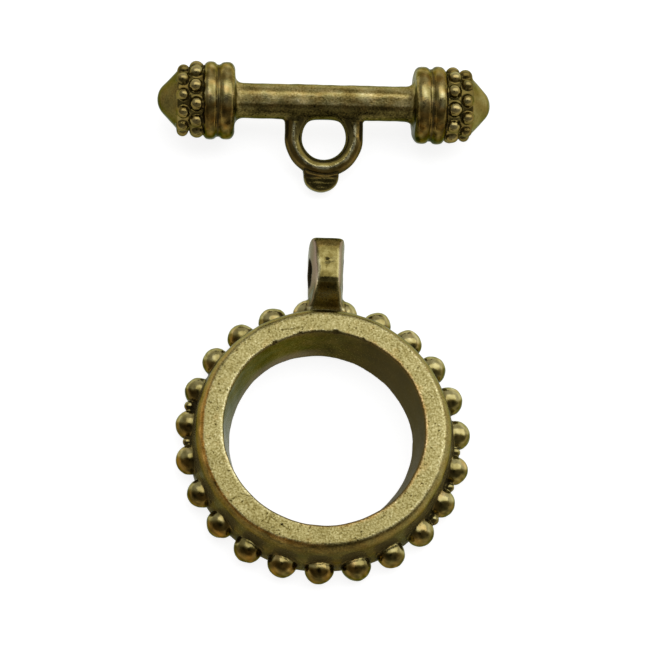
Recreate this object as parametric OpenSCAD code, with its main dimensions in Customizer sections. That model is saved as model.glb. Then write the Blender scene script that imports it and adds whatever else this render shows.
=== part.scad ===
// Toggle clasp in two loose castings with an antique bronze finish: a ring with a rim of
// beads and a bail, and a bar with capped ends and a loop. The bar passes through the ring
// and turns across it to close a necklace or a bracelet.
// Both castings lie on the plane z = 0, side by side. The origin is the middle of the
// ring's hole, on that plane. The bail points along +Y, and the bar lies beyond it.
// Sizes are in millimetres.

/* [Ring band] */
// Width of the hole at the front face
hole_d = 16.86; // [13:0.1:22]
// How far the wall of the hole leans inwards from the front to the back
hole_draft = 0.65; // [0.1:0.05:0.9]
// Width of the flat front face
face_w = 1.69; // [1.2:0.05:3]
// Height of the band from its back to its front face
band_h = 4.67; // [4:0.1:7]
// Width of the worn bevel outside the front face
bevel_w = 0.56; // [0.2:0.02:0.9]
// Height of the bevel
bevel_h = 0.5; // [0.2:0.05:0.9]
// How far the outer wall leans out from the bevel down to the web
wall_lean = 0.3; // [0.1:0.05:0.6]
// How far the web that joins the beads stands out from the wall
web_out = 0.25; // [0.1:0.05:0.5]
// Height of the web above the back
web_h = 2.1; // [1.6:0.1:2.6]
// Small chamfer on the edges of the hole and of the back
edge_cut = 0.12; // [0.05:0.01:0.25]

/* [Beads] */
// Number of beads round the rim
bead_count = 23; // [15:1:25]
// Diameter of a bead
bead_d = 2.5; // [2:0.1:2.7]
// How far the middle of a bead lies outside the web
bead_out = 0.03; // [0:0.01:0.2]
// Height of the flat that each bead rests on
bead_flat = 0.05; // [0.02:0.01:0.15]

/* [Bail] */
// Width of the bail across the middle of its height
bail_w = 3.1; // [2.4:0.05:4]
// How much each side falls back from there to the front face
bail_taper = 0.52; // [0.2:0.02:0.7]
// Diameter of the bail's hole
bail_hole_d = 2.3; // [1.6:0.1:3]
// Thickness of the metal in front of the hole and behind it
bail_wall = 1.2; // [0.9:0.05:1.5]
// Thickness of the metal beyond the hole
bail_end = 1.81; // [1.4:0.05:2.5]
// Distance from the band's web to the hole
bail_neck = 2.22; // [1.9:0.1:4]
// Height of the neck above the back, where it meets the band
neck_h = 2.65; // [2.2:0.05:3.2]
// Rounding of the bail's far corners as seen from the side
bail_corner_r = 1.45; // [0.8:0.05:1.5]
// Rounding of those corners as seen from the front
bail_edge_r = 0.6; // [0.3:0.05:0.8]

/* [Bar] */
// Length of the bar over both tips
bar_l = 29.62; // [26:0.5:40]
// Diameter of the rod
rod_d = 3.12; // [2.6:0.1:4]
// Diameter over the outer collar of a cap
collar_d = 6.92; // [6.4:0.1:8]
// Width of one collar
collar_w = 1.4; // [1.1:0.02:1.6]
// Rounding of a collar's rim
collar_round = 0.5; // [0.3:0.02:0.5]
// How much smaller the inner collar is in diameter
inner_collar_less = 0.06; // [0.02:0.02:0.4]
// Depth of the groove between the two collars
collar_groove = 0.26; // [0.1:0.02:0.45]
// How far the collars and granules of a cap run into each other along the bar
cap_overlap = 0.06; // [0.02:0.01:0.12]
// Length of a cap's pointed dome
dome_l = 1.8; // [1.5:0.1:2.2]
// Diameter of the dome at its foot
dome_d = 5.24; // [5.1:0.1:5.6]
// Slope of the dome's side to the bar's axis, in degrees
dome_slope = 47; // [42:0.5:48]

/* [Granules of the caps] */
// Number of granules in each row
granule_count = 11; // [8:1:13]
// Diameter of a granule in the row next to the collars
granule_d = 1.32; // [0.9:0.05:1.4]
// Diameter of a granule in the row next to the dome
small_granule_d = 1.14; // [0.8:0.05:1.2]
// How much smaller the cap is in diameter over the larger row than over the outer collar
large_row_less = 0.04; // [0.04:0.02:0.5]
// How much smaller it is over the smaller row
small_row_less = 0.46; // [0.4:0.02:0.9]
// How deep the middle of a granule lies under the surface that it sits on
granule_sink = 0.04; // [0:0.01:0.15]
// Turn of the first granule from the bar's upper side, in degrees
granule_turn = 13; // [0:1:30]

/* [Loop and lug] */
// Width of the loop's hole
loop_hole_d = 3.9; // [3:0.1:5]
// Thickness of the loop's round wire
loop_wire_d = 1.54; // [1.2:0.05:2]
// Distance from the bar's axis to the middle of the loop
loop_drop = 3.15; // [2.9:0.1:4.5]
// Width of the lug below the loop
lug_w = 3.2; // [2:0.1:3.6]
// Length of the lug that shows below the loop
lug_l = 1.38; // [1:0.05:2.5]
// How far the lug lies to one side of the loop's middle
lug_left = 0.2; // [0:0.05:0.4]
// Thickness of the lug
lug_t = 1.5; // [1:0.05:2]
// Number of grooves across each side of the lug
lug_grooves = 3; // [1:1:4]
// Depth of those grooves
lug_groove_depth = 0.08; // [0.05:0.01:0.2]

/* [How the pieces lie] */
// Clear space between the bail's end and the lug
bar_gap = 5.53; // [2:0.05:12]
// How far the bar lies to the left of the ring's middle
bar_left = 0.63; // [0:0.1:3]
// How far the bar lies turned from the ring's X line, in degrees
bar_turn = 1.6; // [0:0.1:5]

/* [Hidden] */
$fn = 64;
bronze = [0.52, 0.46, 0.26];

// The ring's radii, from the hole outwards
hole_r = hole_d / 2;
back_r = hole_r - hole_draft;
face_r = hole_r + face_w;
bevel_r = face_r + bevel_w;
wall_r = bevel_r + wall_lean;
web_r = wall_r + web_out;
bead_r = bead_d / 2;
bead_ring_r = web_r + bead_out;
bead_step = 360 / bead_count;

// Small cast granules that sit in gaps between the beads. The gap's number counts from the
// bead left of the bail, against the clock. The others are shares of the bead's radius.
//              gap, radius, outwards, height
bead_granules = [[4, 0.36, 0.25, 0.25],
                 [5, 0.32, 0.10, 0.10],
                 [14, 0.40, 0.28, 0.05],
                 [15, 0.32, 0.16, 0.10],
                 [16, 0.34, 0.06, 0.15]];

// The bail's places along Y and Z. Its front slopes down from the shoulder to a knee, and less
// steeply from there to the band.
bail_h = bail_hole_d + 2 * bail_wall;
bail_near = web_r + bail_neck;
bail_mid = bail_near + bail_hole_d / 2;
bail_far = bail_near + bail_hole_d + bail_end;
shoulder = bail_near - 0.09 * bail_neck;
knee = [shoulder - 0.315 * bail_neck, neck_h + 0.465 * (bail_h - neck_h)];
neck_low = 0.1 * bail_h;

// The bar's places along its axis, from the tip inwards
tip = bar_l / 2;
dome_foot = tip - dome_l;
small_row = dome_foot - 0.43 * small_granule_d;
large_row = small_row - 0.5 * (small_granule_d + granule_d) + cap_overlap;
outer_collar = large_row - granule_d / 2 - collar_w / 2 + cap_overlap;
inner_collar = outer_collar - collar_w + cap_overlap;

// The bar's radii
rod_r = rod_d / 2;
collar_r = collar_d / 2;
groove_r = collar_r - collar_groove;
large_row_r = collar_r - large_row_less / 2 - granule_d / 2;
small_row_r = collar_r - small_row_less / 2 - small_granule_d / 2;
dome_r = dome_d / 2;
tip_ball_r = (dome_r - dome_l * tan(dome_slope)) / (1 / cos(dome_slope) - tan(dome_slope));

// The loop, measured from the bar's axis
wire_r = loop_wire_d / 2;
loop_r = loop_hole_d / 2 + wire_r;
loop_low = loop_drop + loop_r + wire_r;
lug_reach = loop_low + lug_l;
lug_r = 1.06 * lug_w / 2;

// A free bar rolls on its outer collars until the lug's lower edge touches the surface
roll = asin(collar_r / norm([lug_reach, lug_t / 2])) - atan(lug_t / 2 / lug_reach);
bar_y = bail_far + bar_gap + lug_reach * cos(roll);

// Square with rounded corners, from parts that stay true arcs
module rounded(w, h, r) {
  square([w - 2 * r, h], center = true);
  square([w, h - 2 * r], center = true);
  for (x = [-1, 1], y = [-1, 1])
    translate([x * (w / 2 - r), y * (h / 2 - r)])
      circle(r);
}

// Section of the band, from the hole's back edge round to the back again
module band_section() {
  polygon([
    [back_r, edge_cut],
    [hole_r, band_h - edge_cut],
    [hole_r + edge_cut, band_h],
    [face_r, band_h],
    [face_r + 0.6 * bevel_w, band_h - 0.35 * bevel_h],
    [bevel_r, band_h - bevel_h],
    [wall_r, web_h],
    [web_r, web_h - web_out],
    [web_r, 0.3 * web_h],
    [web_r - web_out, 0],
    [back_r + edge_cut, 0]
  ]);
}

module band() {
  rotate_extrude($fn = 128)
    band_section();
}

// One ball of the rim, placed by its angle, its distance outwards and its height
module rim_ball(angle, r, out, up) {
  rotate([0, 0, angle])
    translate([bead_ring_r + out, 0, bead_r - bead_flat + up])
      sphere(r);
}

module beads() {
  for (i = [0 : bead_count - 1])
    rim_ball(90 + (i + 1.5) * bead_step, bead_r, 0, 0);
  for (g = bead_granules)
    if (g[0] < bead_count)
      rim_ball(90 + (g[0] + 1) * bead_step, g[1] * bead_r, g[2] * bead_r, g[3] * bead_r);
}

// Outline of the bail from the side, with its far end to the right
module bail_side() {
  r = bail_corner_r;
  polygon([
    [face_r, neck_low],
    [face_r, neck_h],
    [web_r, neck_h],
    knee,
    [shoulder, bail_h],
    [bail_far - r, bail_h],
    [bail_far - r, 0],
    [bail_near + 0.065 * bail_hole_d, 0],
    [bail_near - 0.52 * bail_neck, neck_low]
  ]);
  translate([bail_far - 2 * r, r])
    square([2 * r, bail_h - 2 * r]);
  for (z = [r, bail_h - r])
    translate([bail_far - r, z])
      circle(r);
}

// Section across the bail, widest at the middle of its height, where the mould parted
module bail_section() {
  half = bail_w / 2;
  mid = bail_h / 2;
  right = [for (part = [[-1, 1], [-0.9, 0.77], [-0.7, 0.41], [-0.45, 0.14], [0, 0], [0.45, 0.14],
                        [0.7, 0.41], [0.9, 0.77], [1, 1]])
    [half - part[1] * bail_taper, mid + part[0] * mid]];
  left = [for (i = [len(right) - 1 : -1 : 0]) [-right[i][0], right[i][1]]];
  polygon(concat(right, left));
}

// Outline of the bail from above
module bail_plan() {
  r = bail_edge_r;
  translate([-bail_w / 2, 0])
    square([bail_w, bail_far - r]);
  translate([-bail_w / 2 + r, 0])
    square([bail_w - 2 * r, bail_far]);
  for (side = [-1, 1])
    translate([side * (bail_w / 2 - r), bail_far - r])
      circle(r);
}

// The bail is what lies inside all three outlines
module bail() {
  intersection() {
    translate([-bail_w / 2, 0, 0])
      rotate([90, 0, 90])
        linear_extrude(bail_w)
          bail_side();
    translate([0, 2 * bail_far, 0])
      rotate([90, 0, 0])
        linear_extrude(2 * bail_far)
          bail_section();
    linear_extrude(bail_h)
      bail_plan();
  }
}

module bail_hole() {
  translate([-bail_w, bail_mid, bail_h / 2])
    rotate([0, 90, 0])
      cylinder(h = 2 * bail_w, d = bail_hole_d);
}

// Room above the surface that the pieces lie on
module above_surface() {
  translate([-2 * bail_far, -2 * bail_far, 0])
    cube([4 * bail_far, 4 * bail_far, 2 * (band_h + bail_h)]);
}

module toggle_ring() {
  color(bronze)
    intersection() {
      difference() {
        union() {
          band();
          beads();
          bail();
        }
        bail_hole();
      }
      above_surface();
    }
}

// Solid turned about the bar's axis, with its outline given along X
module turned() {
  rotate([0, 90, 0])
    rotate([0, 0, 90])
      rotate_extrude($fn = 96)
        children();
}

// One collar: a disc with a rounded rim
module collar(at, r) {
  half = collar_w / 2;
  turned() {
    translate([0, at - half])
      square([r - collar_round, collar_w]);
    translate([0, at - half + collar_round])
      square([r, collar_w - 2 * collar_round]);
    for (side = [-1, 1])
      translate([r - collar_round, at + side * (half - collar_round)])
        circle(collar_round);
  }
}

// Round stretch of the cap's core
module core(from, to, r) {
  translate([from, 0, 0])
    rotate([0, 90, 0])
      cylinder(h = to - from, r = r);
}

// Cone with a ball for its tip, whose root runs a little way into the core
module dome() {
  root = 0.1 * dome_l;
  ball_mid = dome_l - tip_ball_r;
  turned()
    translate([0, dome_foot])
      intersection() {
        polygon([[0, -root], [dome_r, -root], [dome_r, 0], [dome_r - 2 * dome_l * tan(dome_slope), 2 * dome_l],
                 [0, 2 * dome_l]]);
        union() {
          translate([0, ball_mid])
            circle(tip_ball_r, $fn = 96);
          translate([0, -root])
            square([dome_r, ball_mid + tip_ball_r * sin(dome_slope) + root]);
        }
      }
}

// A row of granules round the cap, with their middles at the radius r
module granules(at, r, d, turn) {
  for (i = [0 : granule_count - 1])
    rotate([turn + i * 360 / granule_count, 0, 0])
      translate([at, 0, r])
        sphere(d = d, $fn = 32);
}

module cap() {
  core(inner_collar, outer_collar, groove_r);
  core(outer_collar, (large_row + small_row) / 2, large_row_r + granule_sink);
  core(large_row, dome_foot, small_row_r + granule_sink);
  dome();
  collar(inner_collar, collar_r - inner_collar_less / 2);
  collar(outer_collar, collar_r);
  granules(large_row, large_row_r, granule_d, granule_turn);
  granules(small_row, small_row_r, small_granule_d, granule_turn + 180 / granule_count);
}

module rod() {
  translate([-inner_collar, 0, 0])
    rotate([0, 90, 0])
      cylinder(h = 2 * inner_collar, r = rod_r);
}

// The loop is a closed round of wire, and its two arms run straight on into the rod
module bar_loop() {
  translate([0, -loop_drop, 0])
    rotate_extrude()
      translate([loop_r, 0])
        circle(wire_r);
  for (side = [-1, 1])
    translate([side * loop_r, -loop_drop, 0])
      rotate([-90, 0, 0])
        cylinder(h = loop_drop, r = wire_r);
}

// The lug is a strip with a round end, grooved across both sides. It starts in a crease along
// the loop's wire.
module lug() {
  round_mid = lug_reach - lug_r;
  cutter_r = 2 * lug_groove_depth;
  difference() {
    translate([-lug_left, 0, -lug_t / 2])
      linear_extrude(lug_t)
        intersection() {
          translate([-lug_w / 2, -lug_reach])
            square([lug_w, lug_reach - loop_drop]);
          union() {
            translate([0, -round_mid])
              circle(lug_r);
            translate([-lug_r, -round_mid])
              square([2 * lug_r, round_mid - loop_drop]);
          }
        }
    translate([0, -loop_drop, -lug_t])
      cylinder(h = 2 * lug_t, r = loop_r + 0.8 * wire_r, $fn = 128);
    for (i = [1 : lug_grooves], side = [-1, 1])
      translate([-2 * lug_w, -loop_low - (i - 0.35) * 0.95 * lug_l / lug_grooves,
                 side * (lug_t / 2 - lug_groove_depth + cutter_r)])
        rotate([0, 90, 0])
          cylinder(h = 4 * lug_w, r = cutter_r, $fn = 24);
  }
}

module toggle_bar() {
  color(bronze)
    translate([-bar_left, bar_y, collar_r])
      rotate([0, 0, bar_turn])
        rotate([roll, 0, 0]) {
          rod();
          cap();
          mirror([1, 0, 0])
            cap();
          bar_loop();
          lug();
        }
}

toggle_ring();
toggle_bar();
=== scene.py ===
"""Toggle clasp in antique bronze: a ring with a beaded rim and a bail, and a bar with capped
ends and a loop. Both castings lie loose on a pale surface, the bar beyond the ring's bail."""
import math
from functools import reduce

import bpy
import numpy as np
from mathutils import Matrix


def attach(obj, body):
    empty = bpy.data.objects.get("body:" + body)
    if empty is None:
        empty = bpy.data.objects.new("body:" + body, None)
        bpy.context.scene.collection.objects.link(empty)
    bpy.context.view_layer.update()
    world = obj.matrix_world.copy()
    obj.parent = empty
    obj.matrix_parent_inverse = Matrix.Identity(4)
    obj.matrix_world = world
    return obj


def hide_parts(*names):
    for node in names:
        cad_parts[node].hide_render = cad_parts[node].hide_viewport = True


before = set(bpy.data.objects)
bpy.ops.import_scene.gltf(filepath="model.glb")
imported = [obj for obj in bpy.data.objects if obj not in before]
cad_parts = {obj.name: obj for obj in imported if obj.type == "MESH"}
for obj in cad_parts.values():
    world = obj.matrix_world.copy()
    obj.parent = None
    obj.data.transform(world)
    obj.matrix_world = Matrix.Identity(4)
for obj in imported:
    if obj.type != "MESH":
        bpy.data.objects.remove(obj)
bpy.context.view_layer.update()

import openvdb
from mathutils import Matrix, Vector

MM = 0.001  # the castings' sizes are in millimetres, and this turns them into metres


# Ring band. The ring is one casting of zinc alloy, plated in antique bronze and tumbled, which
# wears its front face bright. Its band has a hole that narrows to the back, a flat face, a
# worn bevel, an outer wall that leans out and a low web that carries the beads.
hole_r = 8.43
back_r = 7.78
face_r = 10.12
bevel_r = 10.68
wall_r = 10.98
web_r = 11.23
band_h = 4.67
bevel_h = 0.5
web_h = 2.1
web_rise = 0.4
web_root_r = back_r + 1
bevel_foot = (bevel_r, band_h - bevel_h)
web_slope = [(wall_r - 0.1, web_h + 0.5), (web_r, web_h - 0.8)]
hole_rounding = 0.2
face_rounding = 0.12
wall_rounding = 0.4
web_rounding = 0.3
slight_rounding = 0.1
web_fillet = 0.15
band_warp = 0.03
hole_warp = 0.03
hole_warp_growth = 0.006

# Stretches where the worn edge of the face strays from a true circle: the bearing of the middle
# and the reach on either side, in degrees, and how far out it strays.
face_strays = [(228, 24, 0.17), (273, 15, -0.08)]


def join(a, b, fillet):
    """Two forms made one, with a fillet about as wide as `fillet` between them."""
    share = np.clip(0.5 + 0.5 * (b - a) / fillet, 0, 1)
    return b + (a - b) * share - fillet * share * (1 - share)


def keep(a, b, rounding):
    """What lies inside both forms, with a worn edge between them."""
    return -join(-a, -b, rounding)


def beyond(r, z, start, end):
    """Distance outwards from an edge of a section, which has the metal on its right."""
    dr, dz = end[0] - start[0], end[1] - start[1]
    return ((z - start[1]) * dr - (r - start[0]) * dz) / math.hypot(dr, dz)


def uneven(x, y, z, wave, seed, count=10):
    """Smooth unevenness of a casting, mostly between -1 and 1, in seeded waves `wave` mm long."""
    draw = np.random.default_rng(seed)
    total = 0
    for _ in range(count):
        way = draw.normal(size=3)
        way *= 2 * math.pi / (wave * draw.uniform(0.7, 1.4) * np.linalg.norm(way))
        total = total + np.sin(way[0] * x + way[1] * y + way[2] * z + draw.uniform(0, 2 * math.pi))
    return total / math.sqrt(count)


def bell(value, middle, reach):
    """Is 1 at the middle and fades smoothly, to about a third at `reach` on either side."""
    return np.exp(-((value - middle) / reach) ** 2)


def bearing_of(x, y):
    """Degrees against the clock from the right, with the ring seen from the front."""
    return np.degrees(np.arctan2(y, x)) % 360


def face_shift(x, y):
    """How much further out than a true circle the face ends."""
    return sum(out * bell(bearing_of(x, y), middle, reach) for middle, reach, out in face_strays)


def band_form(x, y, z):
    across = np.hypot(x, y)
    r = across + band_warp * uneven(x, y, z, wave=7, seed=1)
    sideways = (hole_warp + hole_warp_growth * y ** 2) * (1 - z / band_h)
    hole = np.hypot(x + sideways, y) + r - across
    z = z + band_warp * uneven(x, y, z, wave=6, seed=2)
    band = keep(-z, beyond(hole, z, (back_r, 0), (hole_r, band_h)), hole_rounding)
    band = keep(band, z - band_h, hole_rounding)
    band = keep(band, beyond(r - face_shift(x, y), z, (face_r, band_h), bevel_foot), face_rounding)
    band = keep(band, beyond(r, z, bevel_foot, (wall_r, web_h)), wall_rounding)
    web = keep(r - web_r, z - web_h - web_rise, slight_rounding)
    web = keep(web, beyond(r, z, *web_slope), web_rounding)
    return join(band, keep(web, web_root_r - r, slight_rounding), web_fillet)


# Rim. Its 23 beads are cast with the ring, and differ a little in size and in how far out they
# sit, the right ones further than the left ones. Stray granules of metal lie in a few gaps.
bead_count = 23
bead_step = 360 / bead_count
bead_r = 1.25
bead_ring_r = 11.26
bead_mid = 1.2
first_bead = 1.5  # steps from the middle of the bail round to the first bead that is counted
bead_ripples = [(0.018, 1.1, 14), (0.006, 0.5, 15)]
granule_fillet = 0.15

# Each row names the gap, counted from the bead left of the bail against the clock, the granule's
# radius, how far its middle lies outside the beads' middles, and its height.
stray_granules = [(4, 0.45, 0.31, 1.51), (5, 0.40, 0.13, 1.33), (14, 0.50, 0.35, 1.26),
                  (15, 0.40, 0.20, 1.33), (16, 0.43, 0.08, 1.39)]


def bead_bearing(number):
    return 90 + (number + first_bead) * bead_step


draw = np.random.default_rng(23)
bead_size = bead_r * draw.uniform(0.975, 1.005, bead_count)
rightwards = np.cos(np.radians(bead_bearing(np.arange(bead_count))))
bead_shift = draw.normal(0, 0.02, bead_count) + 0.06 + 0.07 * rightwards


def ball(x, y, z, middle, r):
    return np.sqrt((x - middle[0]) ** 2 + (y - middle[1]) ** 2 + (z - middle[2]) ** 2) - r


def rim_place(number, out, up):
    angle = np.radians(bead_bearing(number))
    return (bead_ring_r + out) * np.cos(angle), (bead_ring_r + out) * np.sin(angle), up


def beads_form(x, y, z):
    """The beads and granules. A point is measured to the two beads that lie on either side."""
    number = (np.degrees(np.arctan2(y, x)) - 90) / bead_step - first_bead
    beads = np.inf
    for near in (np.floor(number), np.ceil(number)):
        index = near.astype(int) % bead_count
        bead = ball(x, y, z, rim_place(near, bead_shift[index], bead_mid), bead_size[index])
        beads = np.minimum(beads, bead)
    for gap, r, out, up in stray_granules:
        beads = join(beads, ball(x, y, z, rim_place(gap - 0.5, out, up), r), granule_fillet)
    for height, wave, seed in bead_ripples:
        beads = beads - height * uneven(x, y, z, wave, seed)
    return beads


# Bail, cast on the rim: a strap bent over a hole that runs across, on a neck that slopes down to
# the band. Its sides slope outwards from the front to the height where the mould parted, and
# the left one leans in further beside the hole.
bail_h = 4.7
bail_far = 17.56
bail_corner_r = 1.45
bail_hole_y = 14.6
bail_hole_r = 1.15
bail_side = 1.6
bail_left = 0.1
bail_lean = 0.52
bail_root_y = 10.2
parting_h = 1.0
shoulder = (13.25, bail_h)
knee = (12.55, 3.6)
foot = (11.2, 2.65)
underside = [(13.6, 0), (12.3, 0.5), (10.3, 0.5)]
knee_fillet = 0.5
slope_rounding = 0.3
underside_rounding = 0.2
bail_end_rounding = 0.45
bail_edge_rounding = 0.38


def cut(a, b, rounding):
    """The first form without the second."""
    return -join(-a, b, rounding)


def corner(a, b):
    """Distance from a square corner, from the distances `a` and `b` to its two sides."""
    return np.hypot(np.maximum(a, 0), np.maximum(b, 0)) + np.minimum(np.maximum(a, b), 0)


def ramp(value, start, length):
    """Rises evenly from 0 at the start to 1 over the length."""
    return np.clip((value - start) / length, 0, 1)


def lean_by_hole(y):
    """How much further the left side leans in beside the hole."""
    return 0.2 * bell(y, 14.2, 1.2)


def bail_form(x, y, z):
    strap = corner(y - (bail_far - bail_corner_r),
                   np.abs(z - bail_h / 2) - (bail_h / 2 - bail_corner_r))
    slopes = join(beyond(y, z, knee, shoulder), beyond(y, z, foot, knee), knee_fillet)
    profile = keep(strap - bail_corner_r, slopes, slope_rounding)
    for start, end in zip(underside, underside[1:]):
        profile = keep(profile, beyond(y, z, start, end), underside_rounding)
    bend = 1 + 2.3 * ramp(y, 13.0, 0.9)
    share = ramp(z, parting_h, bail_h - parting_h) ** bend
    lean = bail_lean * (1 - 0.35 * ramp(y, 16.2, 1.2)) + (x < 0) * lean_by_hole(y)
    waist = 0.08 * (x < 0) * bell(y, 12.8, 1.1) - 0.07 * (x > 0) * bell(y, 12.2, 0.8)
    flare = 0.3 * ramp(-y, -12.2, 1.0) ** 2
    width = bail_side - bail_left * (x < 0) - lean * share - waist + flare
    outline = keep(np.abs(x + bail_left) - width, y - bail_far, bail_end_rounding)
    bail = keep(keep(profile, outline, bail_edge_rounding), bail_root_y - y, slight_rounding)
    hole = np.hypot(y - bail_hole_y, z - bail_h / 2) - bail_hole_r
    return cut(bail, hole, slight_rounding)


# The whole ring. Band, rim and bail are one piece of metal, with fillets where they meet, faint
# ripples all over, small dents and nicks from tumbling, and a back that lies flat.
bead_fillet = 0.16
bail_fillet = 0.42
dent_rounding = 0.08
back_rounding = 0.03
ripple = 0.012

# Dents and nicks, as balls sunk into the surface: the place of each one's middle, and its radius.
ring_dents = [(-8.07, -3.23, 4.72, 0.13), (9.30, 3.52, 4.74, 0.12), (9.04, 3.16, 4.74, 0.11),
              (-0.10, 14.95, 4.86, 0.30), (0.35, 15.05, 4.88, 0.26), (-4.30, 7.15, 4.66, 0.25),
              (0.75, 8.34, 4.66, 0.22), (3.1, 7.75, 4.68, 0.2), (-2.2, 8.05, 4.7, 0.2)]


def rippled(x, y, z, wave, seed):
    """The three places, each shifted by faint ripples with a seed of their own."""
    return (v + ripple * uneven(x, y, z, wave, seed + axis) for axis, v in enumerate((x, y, z)))


def ring_form(x, y, z):
    floor = -z
    x, y, z = rippled(x, y, z, wave=1.6, seed=11)
    metal = join(band_form(x, y, z), beads_form(x, y, z), bead_fillet)
    metal = join(metal, bail_form(x, y, z), bail_fillet)
    for *middle, r in ring_dents:
        metal = cut(metal, ball(x, y, z, middle, r), dent_rounding)
    return keep(metal, floor, back_rounding)


def slope(form, points, reach=0.01):
    """Direction in which a form's distance grows at each point."""
    steps = reach * np.eye(3)
    grow = [form(*(points + step).T) - form(*(points - step).T) for step in steps]
    return np.stack(grow, 1) / (2 * reach)


def put(name, data):
    """Adds an object to the scene."""
    thing = bpy.data.objects.new(name, data)
    bpy.context.scene.collection.objects.link(thing)
    return thing


def cast(name, form, low, high, cell, place=Matrix.Identity(4)):
    """Meshes the surface of a form in quads about `cell` mm wide, and draws their corners onto
    it. Gives the piece, with those points and their normals in the form's own axes."""
    margin = 3
    passes = 4
    x, y, z = (np.arange(a - margin * cell, b + (margin + 1) * cell, cell) for a, b in zip(low, high))
    layers = [np.broadcast_to(form(here, y[:, None], z[None, :]), (len(y), len(z))) for here in x]
    grid = openvdb.FloatGrid(margin * cell)
    grid.copyFromArray(np.stack(layers).astype(np.float32))
    points, quads = grid.convertToQuads(isovalue=0.0)
    points = points.astype(float) * cell + (x[0], y[0], z[0])
    for _ in range(passes):
        grow = slope(form, points)
        miss = np.clip(form(*points.T), -cell, cell)
        points -= (miss / np.maximum((grow ** 2).sum(1), 0.2))[:, None] * grow
    grow = slope(form, points)
    normal = grow / np.linalg.norm(grow, axis=1)[:, None]
    place = np.array(place)
    world = points @ place[:3, :3].T + place[:3, 3]
    mesh = bpy.data.meshes.new(name)
    mesh.from_pydata((world * MM).tolist(), [], quads.tolist())
    mesh.shade_smooth()
    return put(name, mesh), points, normal


ring, points, normal = cast("beaded_ring", ring_form, (-12.6, -12.6, 0), (12.6, 17.5, 4.75), cell=0.135)


# Wear of the ring, with painted light. The plating is dark everywhere, and rubbed bright on the
# face, on its edges and on top of the beads. The brightness mask, from 0 to 1, holds that rubbing
# and also painted highlights and painted shade, and the brown mask says how brown the metal is
# stained. Grime fills the hollows, with painted shade added in places, and a painted grey sheen
# lies on the bail's flanks.
hollow_reaches = (0.2, 0.45, 0.9)
edge_reaches = (-0.15, -0.35)
ring_wear_and_light = {"plain": 0.25, "hole": 0.16, "hole_rim": 0.5, "back_rim_glint": 0.7, "bead": 0.25, "bead_highlight": 0.34,
             "face": 0.635, "face_edge_highlight": 0.8, "face_rim_wear_and_glint": 0.92, "stain": 0.66, "bail": 0.36, "flank": 0.5,
             "bail_top": 0.42, "bail_rim_highlight": 1.0, "neck_foot": 0.9}
ring_brown = {"plain": 0.5, "hole": 0.25, "hole_rim": 1.0, "stain": 1.3, "flank": 0.15, "most": 1.3}

# Wear of the bevel, which is uneven: a bearing, with how bright and how brown it is there.
bevel_wear = [(0, 0.50, 0.2), (45, 0.55, 0.15), (90, 0.47, 0.3), (130, 0.60, 0.2), (160, 0.50, 0.5),
              (180, 0.38, 0.6), (215, 0.26, 0.5), (250, 0.21, 0.4), (275, 0.21, 0.4), (305, 0.34, 0.3),
              (330, 0.46, 0.2), (360, 0.50, 0.2)]


def closed_in(form, points, normal, reaches):
    """How much of the way out from a surface is filled with metal, or of the way in with air
    where the reaches are below zero: high in a hollow, or on an edge."""
    shares = [np.clip(1 - form(*(points + d * normal).T) / d, 0, 1) for d in reaches]
    return np.mean(shares, 0)


def ease(value, start, end):
    """Rises smoothly from 0 at start to 1 at end."""
    t = np.clip((value - start) / (end - start), 0, 1)
    return t * t * (3 - 2 * t)


def blend(value, goal, share):
    """The value moved towards a goal, by a share from 0 to 1 of the way."""
    return value + share * (goal - value)


def by_bearing(bearing, table):
    at, worn, brown = zip(*table)
    return np.interp(bearing, at, worn), np.interp(bearing, at, brown)


def store(piece, **masks):
    """Keeps masks on a piece's mesh, where its material reads them by name."""
    for name, values in masks.items():
        spots = piece.data.attributes.new(name, "FLOAT", "POINT")
        spots.data.foreach_set("value", np.asarray(values, np.float32))


hollow = closed_in(ring_form, points, normal, hollow_reaches)
edge = closed_in(ring_form, points, normal, edge_reaches)
px, py, pz = points.T
pr = np.hypot(px, py)
up = normal[:, 2]
bearing = bearing_of(px, py)
past_face = pr - face_r - face_shift(px, py)
from_bead = beads_form(px, py, pz)
patchy = uneven(px, py, pz, wave=1.3, seed=34)

# Where each point lies. The hole's wall is given painted shade on the right and painted light on
# the left.
on_bail = ease(py, 10.9, 11.3) * ease(1.75 - np.abs(px), 0, 0.2)
off_bail = 1 - on_bail
in_bail = on_bail * ease(1.4 - np.hypot(py - bail_hole_y, pz - bail_h / 2), 0, 0.15)
bail_top = on_bail * ease(up, 0.5, 0.9) * ease(pz, 4.3, 4.6)
bail_flank = on_bail * ease(np.abs(normal[:, 0]), 0.45, 0.75)
neck = ease(13.4 - py, 0, 0.8)
neck_foot = on_bail * ease(11.5 - py, 0, 0.2) * ease(pz, 2.3, 2.5)
face = ease(up, 0.80, 0.96) * ease(pz, 4.35, 4.55) * off_bail
bevel = ease(pr, 9.9, 10.15) * ease(pz, 3.6, 4.2) * (1 - face) * off_bail
hole = ease(8.9 - pr, 0, 0.3) * (1 - face)
on_bead = ease(0.09 - from_bead, 0, 0.06) * off_bail
web = ease(pr, 10.9, 11.1) * ease(2.3 - pz, 0, 0.3) * (1 - on_bead) * off_bail
wall = ease(pr, 10.5, 10.8) * ease(4.1 - pz, 0, 0.3) * ease(pz - 1.9, 0, 0.4) * (1 - on_bead) * off_bail
hole_bearing = np.cos(np.radians(bearing + 15))
right_wall = ease(hole_bearing, -0.2, 0.6)
left_wall = ease(-hole_bearing, 0.1, 0.7)
rightmost = ease(np.cos(np.radians(bearing)), 0.2, 0.8)
lowest = ease(-np.sin(np.radians(bearing)), 0.6, 1)
lower_left = ease(-np.cos(np.radians(bearing - 33)), 0.4, 0.85)
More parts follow.
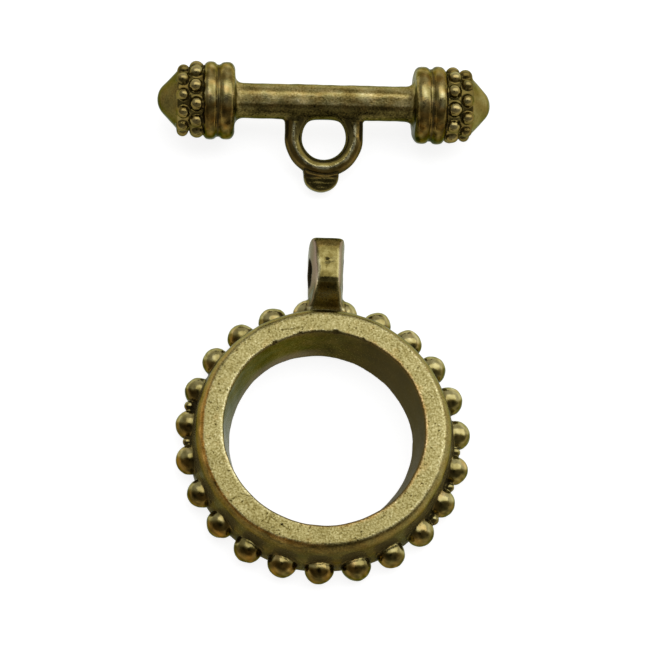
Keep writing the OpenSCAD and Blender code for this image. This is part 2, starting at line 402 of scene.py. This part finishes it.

# The plain metal, the wall of the hole with painted shade on the right and painted light on the
# left, and the bevel with a painted glint where it nears the bail.
worn = ring_wear_and_light["plain"] + 0.05 * uneven(px, py, pz, wave=2.5, seed=31)
brown = ring_brown["plain"] + 0.3 * uneven(px, py, pz, wave=3, seed=32)
streaks = 0.03 * uneven(px, py, pz, wave=2.5, seed=33)
worn = blend(worn, ring_wear_and_light["hole"] - 0.05 * right_wall + 0.08 * left_wall + streaks, hole)
brown = blend(brown, ring_brown["hole"] + 0.35 * right_wall, hole)
bevel_worn, bevel_brown = by_bearing(bearing, bevel_wear)
worn = blend(worn, bevel_worn, bevel)
brown = blend(brown, bevel_brown, bevel)
# A painted glint along the bevel's outer edge, where it nears the bail.
back_rim_glint = bell(pz, 4.15, 0.13) * bell(pr, bevel_r, 0.15) * bell(bearing, 88, 13)
worn = blend(worn, ring_wear_and_light["back_rim_glint"], back_rim_glint)

# The beads, with painted highlights on their upper sides and painted light towards the upper right
# of the rim.
lit_upper_right = 0.5 + 0.5 * np.cos(np.radians(bearing - 35))
lit_upper_side = normal @ (0.05, 0.93, 0.36)
bead_highlights = (ring_wear_and_light["bead_highlight"] + 0.05 * lit_upper_right) * ease(lit_upper_side, 0.08, 0.3)
worn = blend(worn, ring_wear_and_light["bead"] + 0.07 * lit_upper_right + bead_highlights + 0.05 * patchy, on_bead)
worn += on_bead * 0.07 * uneven(px, py, pz, wave=0.5, seed=36)
bead_brown = (0.65 - 0.55 * lit_upper_right) * (1 - 0.8 * ease(lit_upper_side, 0.0, 0.2))
brown = blend(brown, bead_brown + 0.2 * patchy, on_bead)

# The face, with a painted highlight along its right edge, and a brown stain along its lower left one.
worn = blend(worn, ring_wear_and_light["face"] - 0.05 * lowest, face)
brown = blend(brown, 0.3 * ease(8.9 - pr, 0, 0.3) * right_wall + 0.15 * ease(patchy, 0.6, 1.2), face)
face_edge_highlight = bell(past_face, -0.08, 0.12) * ease(pz, 4.45, 4.6) * rightmost
worn = blend(worn, ring_wear_and_light["face_edge_highlight"], face_edge_highlight)
stain = ease(past_face, -0.1, 0.0) * ease(0.33 + 0.1 * patchy - past_face, 0, 0.15) * lower_left
stain = stain * ease(up, 0.5, 0.8)
worn = blend(worn, ring_wear_and_light["stain"] + 0.1 * patchy, stain)
brown = blend(brown, ring_brown["stain"] - 0.9 * ease(up, 0.93, 0.98), stain)
hole_rim = bell(pr - hole_r, 0.03, 0.12) * ease(pz, 4.3, 4.5) * right_wall
worn = blend(worn, ring_wear_and_light["hole_rim"], hole_rim)
brown = blend(brown, ring_brown["hole_rim"], hole_rim)

# The bail: its flanks, the right one given painted light, its mottled top, painted highlights on
# the rims of both sides, painted shade across the knee, and a bright line at the neck's foot.
lit_right_half = ease(px, -0.5, 0.5)
worn = blend(worn, ring_wear_and_light["bail"], on_bail)
brown *= off_bail
worn = blend(worn, ring_wear_and_light["flank"] + 0.2 * lit_right_half - 0.27 * neck, bail_flank)
brown = blend(brown, ring_brown["flank"], bail_flank)
mottled = uneven(px, py, pz, wave=0.55, seed=35)
worn = blend(worn, ring_wear_and_light["bail_top"] + 0.06 * ease(16.2 - py, 0, 0.45) + 0.06 * mottled, bail_top)
worn -= bail_top * 0.17 * ease(14.05 - py, 0, 0.4) * ease(0.8 - px, 0, 1.4)
brown = blend(brown, 0.4 * ease(py - 15.9, 0, 0.5), bail_top)
# Painted highlights along the rims of both sides of the bail's top.
left_rim_highlight = bell(px + bail_side - bail_lean - lean_by_hole(py), 0.1, 0.12) * ease(15.8 - py, 0, 1.0)
right_rim_highlight = bell(px + bail_left - bail_side + bail_lean, -0.06, 0.1) * ease(16.4 - py, 0, 0.6)
bail_rim_highlight = np.maximum(left_rim_highlight, right_rim_highlight) * on_bail * ease(py - 12.3, 0, 0.5) * ease(up, 0.2, 0.5)
worn = blend(worn, ring_wear_and_light["bail_rim_highlight"] - 0.12 * lit_right_half, bail_rim_highlight)
# Painted shade: a dark band across the steep slope at the bail's knee.
worn -= on_bail * bell(py, 12.85, 0.3) * ease(pz, 3.4, 3.8) * (1 - bail_top) * 0.2
worn += 0.12 * on_bail * ease(12.7 - py, 0, 0.3) * (1 - bail_flank)
worn = blend(worn, ring_wear_and_light["neck_foot"], neck_foot)

# Rubbed edges of the face, with a painted highlight strongest on the left and right, dull metal and
# grime in the hollows, painted shade on the right of the hole's wall, and a painted grey sheen on
# the bail's flanks and the left of the hole's wall.
face_rim_wear_and_glint = ease(edge, 0.08, 0.3) * ease(pz, 4.3, 4.5) * ease(up, 0.5, 0.8) * off_bail
face_rim_wear_and_glint = face_rim_wear_and_glint * (0.25 + 0.75 * np.abs(np.cos(np.radians(bearing))))
worn = blend(worn, ring_wear_and_light["face_rim_wear_and_glint"], face_rim_wear_and_glint)
worn -= 0.2 * ease(hollow, 0.3, 0.8) * worn
crevice = ease(hollow, 0.35, 0.8) * ease(2.5 - pz, 0, 0.4)
seam = ease(from_bead, 0.02, 0.06) * ease(0.25 - from_bead, 0, 0.1) * ease(2.9 - pz, 0, 0.3) * off_bail
# Soil on the hole's wall, with painted shade that makes it darkest on the right.
hole_soil_and_shade = hole * np.clip(0.4 + 0.45 * right_wall - 0.3 * left_wall, 0, 1)
grime = reduce(np.maximum, (crevice, 0.8 * seam, 0.6 * web, in_bail, 0.55 * wall, hole_soil_and_shade))
dull_outside = np.maximum(wall, 0.8 * web) * (1 - 0.7 * seam)
# A painted grey sheen, standing in for a reflection, on the bail's flanks and the left of the hole's wall.
flank_sheen = 0.7 * bail_flank * (1 - 0.6 * neck)
hole_wall_sheen = 0.4 * hole * left_wall * ease(1.8 - pz, 0, 1.2)
store(ring, worn=worn, brown=np.clip(brown, 0, ring_brown["most"]), grime=grime * (1 - neck_foot),
      dull=np.maximum(dull_outside, hole * (0.5 + 0.4 * right_wall)),
      bare=np.maximum(flank_sheen, hole_wall_sheen), speckle=0.35 + 0.65 * face - 0.23 * on_bead)


# Finish of both castings: antique bronze plating, black in the hollows and pale gold where it is
# rubbed and where highlights are painted, with brown stains, dark dots, fine speckle on flat faces,
# grime, painted shade and a painted grey sheen.

class Shade:
    """A socket of a shader, so that its maths can be written as plain expressions."""

    def __init__(self, tree, socket=None):
        self.tree, self.socket = tree, socket

    def add(self, kind, settings=(), values=(), output=0):
        """Adds a node. Settings go on the node first, then values or links on its sockets."""
        node = self.tree.nodes.new(kind)
        for name, value in dict(settings).items():
            if name == "stops":
                elements = node.color_ramp.elements
                while len(elements) < len(value):
                    elements.new(0.5)
                for stop, (at, colour) in zip(elements, value):
                    stop.position = at
                    stop.color = (*colour, 1)
            else:
                setattr(node, name, value)
        for name, value in dict(values).items():
            if isinstance(value, Shade):
                self.tree.links.new(value.socket, node.inputs[name])
            else:
                node.inputs[name].default_value = value
        return Shade(self.tree, node.outputs[output])

    def math(self, operation, *terms):
        return self.add("ShaderNodeMath", {"operation": operation}, dict(enumerate(terms)))

    def clamp(self):
        return self.add("ShaderNodeMath", {"operation": "ADD", "use_clamp": True}, {0: self, 1: 0.0})

    def __add__(self, other):
        return self.math("ADD", self, other)

    def __sub__(self, other):
        return self.math("SUBTRACT", self, other)

    def __rsub__(self, other):
        return self.math("SUBTRACT", other, self)

    def __mul__(self, other):
        return self.math("MULTIPLY", self, other)

    __radd__ = __add__
    __rmul__ = __mul__


# Colours of the plating, from the darkest to the brightest, then those of its stains, of a painted
# grey sheen, and of its soil.
patina = [(0.0, (0.008, 0.006, 0.002)), (0.2, (0.072, 0.056, 0.015)), (0.4, (0.165, 0.130, 0.036)),
          (0.6, (0.31, 0.262, 0.098)), (0.8, (0.49, 0.43, 0.20)), (1.0, (0.85, 0.78, 0.46))]
brown_stain = (1.27, 0.74, 0.32, 1)
grey_sheen_colour = (0.25, 0.18, 0.165, 1)
black_soil = (0.040, 0.031, 0.012, 1)
dull_metal = (0.105, 0.080, 0.023, 1)
glancing_tint = (0.47, 0.52, 0.42, 1)
relief = 0.025
crack_wander = 0.25


def antique_bronze(name, cracks=()):
    """Plated and tumbled bronze. `cracks` are lines on the face: two ends each, and a width."""
    material = bpy.data.materials.new(name)
    material.use_nodes = True
    tree = material.node_tree
    tree.nodes.clear()
    make = Shade(tree).add
    place = make("ShaderNodeTexCoord", output="Object")

    def lumps(size, detail=2.0):
        values = {"Vector": place, "Scale": 1 / (size * MM), "Detail": detail}
        return make("ShaderNodeTexNoise", {}, values)

    def mask(name):
        return make("ShaderNodeAttribute", {"attribute_name": name}, output="Fac")

    def vector(operation, values, output=0):
        return make("ShaderNodeVectorMath", {"operation": operation}, values, output)

    def colours(share, first, second, way="MIX"):
        settings = {"data_type": "RGBA", "blend_type": way}
        return make("ShaderNodeMix", settings, {0: share, 6: first, 7: second}, 2)

    wander = make("ShaderNodeTexNoise", {}, {"Vector": place, "Scale": 1 / (0.5 * MM)}, "Color")
    centred = vector("SUBTRACT", {0: wander, 1: (0.5, 0.5, 0.5)})
    astray = vector("SCALE", {0: centred, "Scale": crack_wander * MM})
    crack = 0.0
    for start, end, width in cracks:
        start, end = (Vector((*point, band_h)) * MM for point in (start, end))
        along = end - start
        gone = vector("SUBTRACT", {0: vector("ADD", {0: place, 1: astray}), 1: start})
        share = vector("DOT_PRODUCT", {0: gone, 1: along / along.length_squared}, 1).clamp()
        off = vector("SUBTRACT", {0: gone, 1: vector("SCALE", {0: tuple(along), "Scale": share})})
        line = (1 - vector("LENGTH", {0: off}, 1) * (1 / (width * MM))).clamp()
        crack = line.math("MAXIMUM", line, crack)

    speckle = mask("speckle")
    fine = lumps(0.16, 2.5)
    dots = ((lumps(0.3) - 0.63) * 9.0).clamp()
    # Brightness from rubbing and from painted highlights and shade, with speckle, dots and cracks.
    wear_and_light = mask("worn") + (fine - 0.5) * speckle * 1.05 + (lumps(1.4) - 0.5) * 0.25
    wear_and_light = wear_and_light - dots * speckle * 0.35 - crack * 0.28
    colour = make("ShaderNodeValToRGB", {"stops": patina}, {0: wear_and_light})
    stain = (mask("brown") * 0.85 + (lumps(0.8) - 0.62) * 0.7).clamp()
    colour = colours(stain, colour, brown_stain, "MULTIPLY")
    # A painted grey sheen, standing in for a reflection, where its mask asks for it.
    colour = colours(mask("bare"), colour, grey_sheen_colour)
    roughness = 0.18 + speckle * 0.2 + (fine - 0.5) * 0.2
    height = fine * speckle + lumps(0.9) * 0.5 + lumps(0.35) * (0.75 - speckle * 0.6)
    height = height - crack * 0.6 - dots * speckle * 0.5
    bump = make("ShaderNodeBump", {}, {"Height": height, "Distance": relief * MM, "Strength": 1.0})
    bronze = make("ShaderNodeBsdfPrincipled", {}, {
        "Base Color": colour, "Metallic": 1.0, "Roughness": roughness,
        "Specular Tint": glancing_tint, "Normal": bump})
    soil = make("ShaderNodeBsdfPrincipled", {}, {
        "Base Color": colours(mask("dull"), black_soil, dull_metal),
        "Roughness": 0.85, "Specular IOR Level": 0.05})
    surface = make("ShaderNodeMixShader", {}, {0: mask("grime"), 1: bronze, 2: soil})
    tree.links.new(surface.socket, tree.nodes.new("ShaderNodeOutputMaterial").inputs[0])
    return material


# Cracks and scratches of the ring's face, with both ends and the width of each.
face_cracks = [((-3.79, 8.40), (-2.11, 8.75), 0.09), ((-7.53, -6.54), (-6.56, -6.08), 0.1),
               ((-6.56, -6.08), (-5.66, -6.21), 0.1), ((-4.59, -8.87), (-4.29, -7.93), 0.12),
               ((-4.29, -7.93), (-4.06, -7.50), 0.08), ((-4.21, -7.93), (-2.54, -9.04), 0.08)]
ring.data.materials.append(antique_bronze("worn_bronze", face_cracks))
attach(ring, "root")
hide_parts("toggle_ring")


# Bar. The second casting, of the same metal and finish. It is made along its own x axis, with
# its loop towards -y. Its rod is round, with a slight flat along its upper and lower sides.
rod_r = 1.56
rod_flat = 1.47
rod_end = 8.8
bar_half = 14.81


def rod_form(x, y, z):
    rod = keep(np.hypot(y, z) - rod_r, np.abs(z) - rod_flat, slight_rounding)
    return keep(rod, np.abs(x) - rod_end, slight_rounding)


# Caps, the same at both ends: two rounded collars with a groove between them, two staggered rows
# of granules on a stepped core, and a pointed dome. Their axis is a trace off the rod's, towards
# the side with the loop.
cap_drop = 0.06
collars = [(8.70, 3.43, 0.74), (10.10, 3.46, 0.68)]  # place along the bar, radius, half width
collar_round = 0.45
collar_crown = 0.2
collar_fillet = 0.04
groove_r = 3.2
groove_mid = 9.45
groove_half = 0.65
core_steps = [(10.1, 11.9, 2.82), (11.3, 13.0, 2.66)]  # start, end, radius
core_rounding = 0.15
core_fillet = 0.1
granule_rows = [(11.35, 2.80, 0.66, 0.0), (12.52, 2.66, 0.57, 0.5)]  # place, out, radius, steps round
granule_count = 11
granule_turn = 13
granule_seat = 0.16
dome_foot = 13.01
dome_r = 2.62
dome_slope = math.radians(47)
dome_root = 0.3
dome_rounding = 0.15
dome_fillet = 0.12
tip_r = 1.75

# Granules differ in size and place at each end, in each row. One on the right end is large.
draw = np.random.default_rng(11)
granule_size = draw.uniform(0.90, 1.04, (2, 2, granule_count))
granule_shift = draw.normal(0, 0.05, (2, 2, granule_count))
granule_size[1, 1, 8] = 1.13


def caps_form(x, y, z):
    end = np.abs(x)
    side = np.where(x < 0, 0, 1)
    rho = np.hypot(y + cap_drop, z)
    cap = keep(rho - groove_r, np.abs(end - groove_mid) - groove_half, slight_rounding)
    for start, stop, r in core_steps:
        core = keep(rho - r, np.abs(end - (start + stop) / 2) - (stop - start) / 2, core_rounding)
        cap = join(cap, core, core_fillet)
    for at, r, half in collars:
        out = rho - (r - collar_round) + collar_crown * ((end - at) / half) ** 2
        collar = corner(out, np.abs(end - at) - (half - collar_round)) - collar_round
        cap = join(cap, collar, collar_fillet)
    turn = (np.degrees(np.arctan2(-y, z)) - granule_turn) * granule_count / 360
    for row, (at, row_r, r, shift) in enumerate(granule_rows):
        for near in (np.floor(turn - shift), np.ceil(turn - shift)):
            index = near.astype(int) % granule_count
            angle = np.radians(granule_turn + (near + shift) * 360 / granule_count)
            middle = (at + granule_shift[side, row, index],
                      -cap_drop - row_r * np.sin(angle), row_r * np.cos(angle))
            granule = ball(end, y, z, middle, r * granule_size[side, row, index])
            cap = join(cap, granule, granule_seat)
    cone = (rho - dome_r) * math.cos(dome_slope) + (end - dome_foot) * math.sin(dome_slope)
    past_tip = end - (bar_half - tip_r)
    on_tip = past_tip * math.cos(dome_slope) > rho * math.sin(dome_slope)
    dome = np.where(on_tip, np.hypot(rho, past_tip) - tip_r, cone)
    dome_sides = keep(rho - dome_r, dome_foot - dome_root - end, slight_rounding)
    return join(cap, keep(dome, dome_sides, dome_rounding), dome_fillet)


# Loop of round wire at the middle of the rod, cast with it, on two straight arms. Below it is a
# short flat lug with a round end, grooved across, a little to the left.
loop_hole_r = 1.95
wire_r = 0.77
loop_drop = 3.15
loop_r = loop_hole_r + wire_r
lug_w = 3.2
lug_reach = 8.02
lug_t = 1.5
lug_round = 1.7
lug_left = 0.2
lug_start = 0.62  # outwards from the middle of the loop's wire
lug_root_rounding = 0.15
lug_edge_rounding = 0.35
lug_end_rounding = 0.3
lug_fillet = 0.08
lug_groove = 0.010
lug_groove_step = 0.42
lug_groove_start = 6.9


def loop_form(x, y, z):
    below = y + loop_drop
    ring_r = np.hypot(x, below)
    wire = np.hypot(ring_r - loop_r, z) - wire_r
    arms = np.hypot(np.hypot(x, np.minimum(below, 0)) - loop_r, z) - wire_r
    loop = np.minimum(wire, keep(arms, y, slight_rounding))
    grooves = lug_groove * np.cos((y + lug_groove_start) * 2 * math.pi / lug_groove_step)
    beside = x + lug_left
    strip = keep(np.abs(z) - lug_t / 2 - grooves, np.abs(beside) - lug_w / 2, lug_edge_rounding)
    round_end = np.hypot(beside, y + lug_reach - lug_round) - lug_round
    lug = np.where(y > -(lug_reach - lug_round), strip, keep(strip, round_end, lug_end_rounding))
    lug = keep(lug, loop_r + lug_start - ring_r, lug_root_rounding)
    return join(loop, keep(lug, y + loop_drop, slight_rounding), lug_fillet)


# The whole bar. It lies beyond the bail, turned a little on the surface, and rolled about its own
# length until the tip of its lug touches that surface as both caps do.
cap_fillet = 0.85
loop_fillet = 0.35
bar_middle = (-0.63, 30.622, 3.47)
bar_turn = math.radians(1.6)
bar_roll = math.radians(20.1)
bar_place = Matrix.Translation(bar_middle) @ Matrix.Rotation(bar_turn, 4, "Z")
bar_place = bar_place @ Matrix.Rotation(bar_roll, 4, "X")


def bar_form(x, y, z):
    x, y, z = rippled(x, y, z, wave=1.5, seed=21)
    metal = join(rod_form(x, y, z), caps_form(x, y, z), cap_fillet)
    return join(metal, loop_form(x, y, z), loop_fillet)


bar, points, normal = cast("capped_bar", bar_form, (-14.9, -8.1, -3.5), (14.9, 3.5, 3.5), 0.1, bar_place)


# Wear of the bar, with painted light, which goes round its own axis: each row has a bearing, in
# degrees from straight up towards the side where the loop lies, with how bright and how brown the
# metal is there. The rows of the rod and the collars paint a highlight near the top and shade on
# the side towards the loop, besides wear.
rod_wear_and_light = [(-180, 0.25, 0.2), (-100, 0.30, 0.1), (-60, 0.46, 0.2), (-30, 0.56, 0.25), (-4, 0.55, 0.25),
            (-1, 0.60, 0.25), (34, 0.62, 0.2), (38, 0.32, 0.3), (50, 0.30, 0.2),
            (62, 0.19, 0.0), (92, 0.19, 0.0), (110, 0.2, 0.1), (180, 0.25, 0.2)]
collar_wear_and_light = [(-180, 0.25, 0.4), (-90, 0.45, 0.4), (-45, 0.52, 0.4), (-8, 0.53, 0.3), (0, 0.65, 0.1),
               (24, 0.69, 0.1), (36, 0.46, 0.4), (52, 0.34, 0.6), (90, 0.26, 0.2), (180, 0.25, 0.4)]
dome_wear = [(-180, 0.25, 0.4), (-80, 0.40, 0.2), (-20, 0.40, 0.3), (20, 0.33, 0.2), (60, 0.28, 0.1),
             (180, 0.25, 0.4)]
bar_wear_and_light = {"granule": 0.33, "granule_highlight": 0.35, "loop": 0.26, "worn_crest_highlight": 0.98, "least": 0.03}

hollow = closed_in(bar_form, points, normal, hollow_reaches)
px, py, pz = points.T
rho = np.hypot(py, pz)
end = np.abs(px)
up = normal @ np.array(bar_place)[2, :3]
bearing = np.degrees(np.arctan2(-py, pz)) + math.degrees(bar_roll)
bearing = (bearing + 180) % 360 - 180
outwards = np.hypot(px, np.minimum(py + loop_drop, 0)) - loop_r

# Where each point lies. The crest is the line along the top of the loop's wire, rubbed bright and
# given a painted highlight, and the wire's sides get painted shade.
on_cap = ease(end, 7.9, 8.3)
on_granules = ease(end, 10.75, 10.85) * ease(13.05 - end, 0, 0.1)
on_dome = ease(end, 12.95, 13.1)
on_collar = on_cap * (1 - on_granules) * (1 - on_dome)
on_loop = ease(-py, 1.45, 1.7) * (1 - on_cap)
on_lug = ease(-py, 6.7, 6.9)
off_crest = np.abs(outwards) + 0.05 * uneven(px, py, pz, wave=0.9, seed=42)
unbroken = 1 - 0.5 * ease(uneven(px, py, pz, wave=0.5, seed=44), 0.8, 1.3)
worn_crest_highlight = ease(0.15 - off_crest, 0, 0.08) * ease(pz, 0.3, 0.6) * ease(-py, 1.7, 2.2) * unbroken
shaded_loop_side = on_loop * ease(np.abs(outwards), 0.3, 0.6) * (1 - on_lug)
collar_crest = reduce(np.maximum, [bell(end, at, 0.45 * half) for at, r, half in collars])
groove = on_cap * bell(end, 9.43, 0.07)

# The rod, the collars and the domes by their bearing, then the granules with painted highlights on
# their tops, and the loop with a painted highlight on its crest and painted shade on its sides.
worn, brown = by_bearing(bearing, rod_wear_and_light)
for where, table in ((on_cap, collar_wear_and_light), (on_dome, dome_wear)):
    there, tint = by_bearing(bearing, table)
    worn = blend(worn, there, where)
    brown = blend(brown, tint, where)
granule_highlights = ease(rho, 2.95, 3.3) * ease(up, 0.3, 0.95)
worn = blend(worn, bar_wear_and_light["granule"] + bar_wear_and_light["granule_highlight"] * granule_highlights, on_granules)
brown = blend(brown, 0.25, on_granules)
loop_top = 0.12 * ease(normal[:, 2], 0.2, 0.8) * (1 - on_lug)
worn = blend(worn, bar_wear_and_light["loop"] + loop_top + 0.1 * on_lug, on_loop)
worn -= 0.12 * shaded_loop_side
worn = blend(worn, bar_wear_and_light["worn_crest_highlight"], on_loop * worn_crest_highlight)
brown = blend(brown, 0.5 * ease(outwards, 0.0, 0.3) * (1 - on_lug), on_loop)

# Collars given painted shade off their crests, which narrows their painted highlight, and patched
# with brown, streaks along the rod, and darker hollows. The right dome is lighter than the left one.
worn -= 0.17 * (on_collar * (1 - collar_crest))
worn += on_collar * 0.10 * uneven(px, 0.5 * py, 0.5 * pz, wave=0.45, seed=46)
brown += on_collar * 0.3 * ease(uneven(px, py, pz, wave=0.9, seed=45), 0.1, 1.0)
worn += 0.05 * uneven(px, py, pz, wave=2, seed=41)
worn += 0.06 * uneven(px * 0.2, py, pz, wave=0.6, seed=43) * (1 - on_cap) * (1 - on_loop)
worn += on_dome * (0.22 * (px > 0) - 0.1)
worn -= (0.3 - 0.1 * on_cap) * ease(hollow, 0.3, 0.75) * worn * (1 - on_lug)
hollow_soil = (0.7 - 0.3 * on_granules - 0.55 * on_lug) * ease(hollow, 0.45, 0.85)
# Painted shade on the loop's sides goes into the grime, and a painted grey sheen onto the collars' far
# sides.
store(bar, worn=np.maximum(worn, bar_wear_and_light["least"]), brown=np.clip(brown, 0, 1),
      grime=reduce(np.maximum, (hollow_soil, 0.7 * groove, 0.35 * shaded_loop_side)),
      dull=0.5 * on_granules, bare=0.3 * on_collar * ease(-bearing, 40, 70),
      speckle=0.25 + 0.4 * (1 - on_cap) * (1 - on_loop) - 0.1 * on_granules - 0.1 * on_loop)
bar.data.materials.append(antique_bronze("worn_bronze_bar"))
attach(bar, "root")
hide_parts("toggle_bar")


# Surface that the castings lie on: white paper, which glows faintly so that it stays pale under
# the dim studio.
floor_half = 0.6  # metres
floor_corners = [(-floor_half, -floor_half, 0), (floor_half, -floor_half, 0),
                 (floor_half, floor_half, 0), (-floor_half, floor_half, 0)]
floor_mesh = bpy.data.meshes.new("floor")
floor_mesh.from_pydata(floor_corners, [], [(0, 1, 2, 3)])
paper = bpy.data.materials.new("white_paper")
paper.use_nodes = True
sheet = paper.node_tree.nodes["Principled BSDF"].inputs
sheet["Base Color"].default_value = (0.4, 0.4, 0.4, 1)
sheet["Roughness"].default_value = 0.9
sheet["Emission Color"].default_value = (1, 1, 1, 1)
sheet["Emission Strength"].default_value = 0.85
floor_mesh.materials.append(paper)
floor = put("floor", floor_mesh)


# Softbox above the bar's side of the clasp. It lies half a metre away and reaches the given
# degrees from its middle, along and across.
lamp_far = 0.5
lamp_reach = (40, 21)
lamp_glow = 1.1
facing = Vector((0.24, 0.34, 0.91)).normalized()
across = facing.cross(Vector((1, 0.12, 0))).normalized()
lamp = bpy.data.lights.new("softbox_north", "AREA")
lamp.shape = "RECTANGLE"
lamp.size, lamp.size_y = (2 * lamp_far * math.tan(math.radians(reach)) for reach in lamp_reach)
lamp.energy = lamp_glow * math.pi * lamp.size * lamp.size_y
lamp_axes = Matrix((across.cross(facing), across, facing)).transposed()
put("softbox_north", lamp).matrix_world = Matrix.Translation(facing * lamp_far) @ lamp_axes.to_4x4()


# Studio round the clasp: brighter low down, dimmer on the side nearest the viewer, a little
# brighter to the right, and dark where the photographer's lens stands, as polished metal shows.
room_tones = [(0.0, (0.85,) * 3), (0.35, (0.6,) * 3), (0.8, (0.55,) * 3)]
near_side_dimming = 0.65
lens_way = (-0.05, -0.353, 0.934)
lens_edge = 0.955
lens_dimming = 0.85
right_gain = 0.35
world = bpy.data.worlds.new("studio")
world.use_nodes = True
world.node_tree.nodes.clear()
make = Shade(world.node_tree).add
way = make("ShaderNodeTexCoord", {}, {}, "Generated")
rightward, northward, height = (make("ShaderNodeSeparateXYZ", {}, {0: way}, axis) for axis in "XYZ")
room = make("ShaderNodeValToRGB", {"stops": room_tones}, {0: height})
far_side = (northward * 2.5 + 0.7).clamp()
dim = (height * 3.0).clamp() * (1 - far_side) * near_side_dimming
towards_lens = make("ShaderNodeVectorMath", {"operation": "DOT_PRODUCT"}, {0: way, 1: lens_way}, 1)
lens = ((towards_lens - lens_edge) * 30.0).clamp()
strength = (1 - lens * lens_dimming) * (1 - dim) * (rightward * right_gain + 1)
glow = make("ShaderNodeBackground", {}, {"Color": room, "Strength": strength})
world.node_tree.links.new(glow.socket, world.node_tree.nodes.new("ShaderNodeOutputWorld").inputs[0])
bpy.context.scene.world = world
bpy.context.scene.view_settings.view_transform = "Standard"


# Camera at the photograph's angle, 69 degrees above the surface and turned 8 degrees to the left.
# Its place is in millimetres, and its axes are those of its picture: right, up and back.
camera_place = Vector((-8.8181, -52.4067, 166.9813)) * MM
camera_axes = Matrix(((0.9979, 0.0220, 0.0615), (-0.0423, 0.9352, 0.3517), (-0.0498, -0.3535, 0.9341)))
view = bpy.data.cameras.new("camera")
view.sensor_fit = "HORIZONTAL"
view.angle = math.radians(18)
view.clip_start = 0.01
view.clip_end = 5
camera = put("camera", view)
camera.matrix_world = Matrix.Translation(camera_place) @ camera_axes.transposed().to_4x4()
bpy.context.scene.camera = camera

for piece in (ring, bar):
    print(piece.name, len(piece.data.polygons), "quads")
